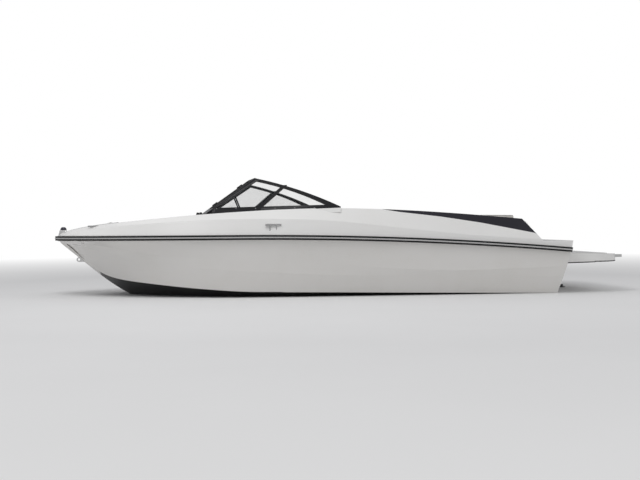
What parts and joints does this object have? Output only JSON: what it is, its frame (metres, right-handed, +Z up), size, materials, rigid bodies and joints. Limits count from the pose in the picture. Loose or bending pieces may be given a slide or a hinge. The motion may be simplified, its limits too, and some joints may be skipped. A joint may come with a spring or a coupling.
{
  "type": "speedboat",
  "caption": "Open sports runabout: hard-chine hull, wraparound windshield with a centre gate, bow and aft seating, swim platform and a sterndrive.",
  "frame": {"origin": "on the centreline at the waterline, 2.30 m forward of the transom corner", "axes": "+X forward, +Y to port, +Z up"},
  "size_m": [6.111, 2.272, 1.9838],
  "materials": {
    "hull_gelcoat": "white gelcoat, dark below the chine",
    "deck_gelcoat": "white gelcoat",
    "dark_gelcoat": "near-black gelcoat",
    "rail_rubber": "black vinyl",
    "rail_insert": "bright strip",
    "carpet": "short pile carpet",
    "cabin_plastic": "off-white moulded panel",
    "dark_plastic": "black moulded plastic",
    "vinyl": "marine vinyl",
    "frame_black": "black anodised frame",
    "glass": "lightly tinted",
    "stainless": "polished stainless steel",
    "drive_black": "black enamel",
    "cast_alloy": "cast alloy",
    "engine_grey": "plain block"
  },
  "bodies": {
    "boat": {"hull": "hull_gelcoat", "deck": "deck_gelcoat", "coaming_port": "dark_gelcoat", "coaming_starboard": "dark_gelcoat", "rub_rail": "rail_rubber", "rub_rail_insert": "rail_insert", "cockpit_sole": "carpet", "console_port": "cabin_plastic", "console_starboard": "cabin_plastic", "instrument_panel": "dark_plastic", "throttle": "dark_plastic", "helm_seat_pedestal": "cast_alloy", "passenger_seat_pedestal": "cast_alloy", "bench_base": "cabin_plastic", "bench_cushion": "vinyl", "bench_backrest": "vinyl", "bow_cushion_port": "vinyl", "bow_cushion_starboard": "vinyl", "bow_backrest_port": "vinyl", "bow_backrest_starboard": "vinyl", "engine": "engine_grey", "windshield_frame_port": "frame_black", "windshield_frame_starboard": "frame_black", "windshield_glass_port": "glass", "windshield_glass_starboard": "glass", "swim_platform": "deck_gelcoat", "ladder_bracket": "stainless", "transom_shield": "drive_black", "nav_light": "stainless", "bow_cleats": "stainless", "side_cleats": "stainless", "grab_handle_port": "stainless", "grab_handle_starboard": "stainless", "bow_eye": "stainless", "stern_eyes": "stainless", "fuel_cap": "stainless"},
    "gimbal": {"gimbal_ring": "drive_black"},
    "drive": {"drive_housing": "drive_black"},
    "propeller": {"propeller": "cast_alloy"},
    "trim_barrel_port": {"trim_barrel_port": "drive_black"},
    "trim_barrel_starboard": {"trim_barrel_starboard": "drive_black"},
    "trim_rod_port": {"trim_rod_port": "stainless"},
    "trim_rod_starboard": {"trim_rod_starboard": "stainless"},
    "steering_wheel": {"steering_wheel": "dark_plastic"},
    "helm_seat": {"helm_seat_shell": "cabin_plastic", "helm_seat_cushions": "vinyl"},
    "passenger_seat": {"passenger_seat_shell": "cabin_plastic", "passenger_seat_cushions": "vinyl"},
    "gate": {"gate_frame": "frame_black", "gate_glass": "glass"},
    "anchor_lid": {"anchor_lid": "deck_gelcoat"},
    "ski_locker_lid": {"ski_locker_lid": "carpet"},
    "glovebox_lid": {"glovebox_lid": "cabin_plastic"},
    "engine_hatch": {"engine_hatch": "deck_gelcoat", "sunpad": "vinyl"},
    "boarding_ladder": {"boarding_ladder": "stainless"}
  },
  "joints": [
    {"name": "drive_steer", "type": "hinge", "parent": "boat", "child": "gimbal", "pos_m": [-2.29, 0, -0.12], "axis": [0, 0, 1], "range_deg": [-30, 30]},
    {"name": "helm_turn", "type": "hinge", "parent": "boat", "child": "steering_wheel", "pos_m": [0.69, -0.45, 0.665], "axis": [0.9135, 0, -0.4067], "range_deg": [-540.5, 540.5]},
    {"name": "drive_tilt", "type": "hinge", "parent": "gimbal", "child": "drive", "pos_m": [-2.29, 0, -0.12], "axis": [0, 1, 0], "range_deg": [-5, 48]},
    {"name": "propeller_turn", "type": "hinge", "parent": "drive", "child": "propeller", "pos_m": [-2.746, 0, -0.51], "axis": [1, 0, 0], "continuous": true},
    {"name": "gate_swing", "type": "hinge", "parent": "boat", "child": "gate", "pos_m": [1.51484, 0.2505, 0.91086], "axis": [-0.8155, 0, 0.5787], "range_deg": [0, 150]},
    {"name": "helm_seat_swivel", "type": "hinge", "parent": "boat", "child": "helm_seat", "pos_m": [0.24, -0.45, 0.4], "axis": [0, 0, 1], "continuous": true},
    {"name": "passenger_seat_swivel", "type": "hinge", "parent": "boat", "child": "passenger_seat", "pos_m": [0.24, 0.45, 0.4], "axis": [0, 0, 1], "continuous": true},
    {"name": "anchor_lid_hinge", "type": "hinge", "parent": "boat", "child": "anchor_lid", "pos_m": [2.557, 0, 0.78661], "axis": [0, -1, 0], "range_deg": [0, 95]},
    {"name": "ski_locker_hinge", "type": "hinge", "parent": "boat", "child": "ski_locker_lid", "pos_m": [0.07, 0.1415, 0.105], "axis": [-1, 0, 0], "range_deg": [0, 95]},
    {"name": "glovebox_hinge", "type": "hinge", "parent": "boat", "child": "glovebox_lid", "pos_m": [0.795, 0.52, 0.6165], "axis": [0, -1, 0], "range_deg": [0, 85]},
    {"name": "engine_hatch_hinge", "type": "hinge", "parent": "boat", "child": "engine_hatch", "pos_m": [-1.262, 0, 0.775], "axis": [0, 1, 0], "range_deg": [0, 60]},
    {"name": "ladder_fold", "type": "hinge", "parent": "boat", "child": "boarding_ladder", "pos_m": [-2.936, 0.665, 0.384], "axis": [0, -1, 0], "range_deg": [0, 250]},
    {"name": "trim_swing_port", "type": "hinge", "parent": "gimbal", "child": "trim_barrel_port", "pos_m": [-2.29, 0.15, -0.262], "axis": [0, 1, 0], "range_deg": [-4.2, 40.1]},
    {"name": "trim_extend_port", "type": "slide", "parent": "trim_barrel_port", "child": "trim_rod_port", "axis": [-0.9879, 0, 0.1548], "range_m": [-0.01121, 0.10593]},
    {"name": "trim_swing_starboard", "type": "hinge", "parent": "gimbal", "child": "trim_barrel_starboard", "pos_m": [-2.29, -0.15, -0.262], "axis": [0, 1, 0], "range_deg": [-4.2, 40.1]},
    {"name": "trim_extend_starboard", "type": "slide", "parent": "trim_barrel_starboard", "child": "trim_rod_starboard", "axis": [-0.9879, 0, 0.1548], "range_m": [-0.01121, 0.10593]}
  ],
  "couplings": [
    {"joint": "helm_turn", "follows": "drive_steer", "ratio": 18},
    {"joint": "trim_swing_port", "follows": "drive_tilt", "ratio": 0.835},
    {"joint": "trim_extend_port", "follows": "drive_tilt", "m_per_rad": 0.1262},
    {"joint": "trim_swing_starboard", "follows": "drive_tilt", "ratio": 0.835},
    {"joint": "trim_extend_starboard", "follows": "drive_tilt", "m_per_rad": 0.1262}
  ]
}
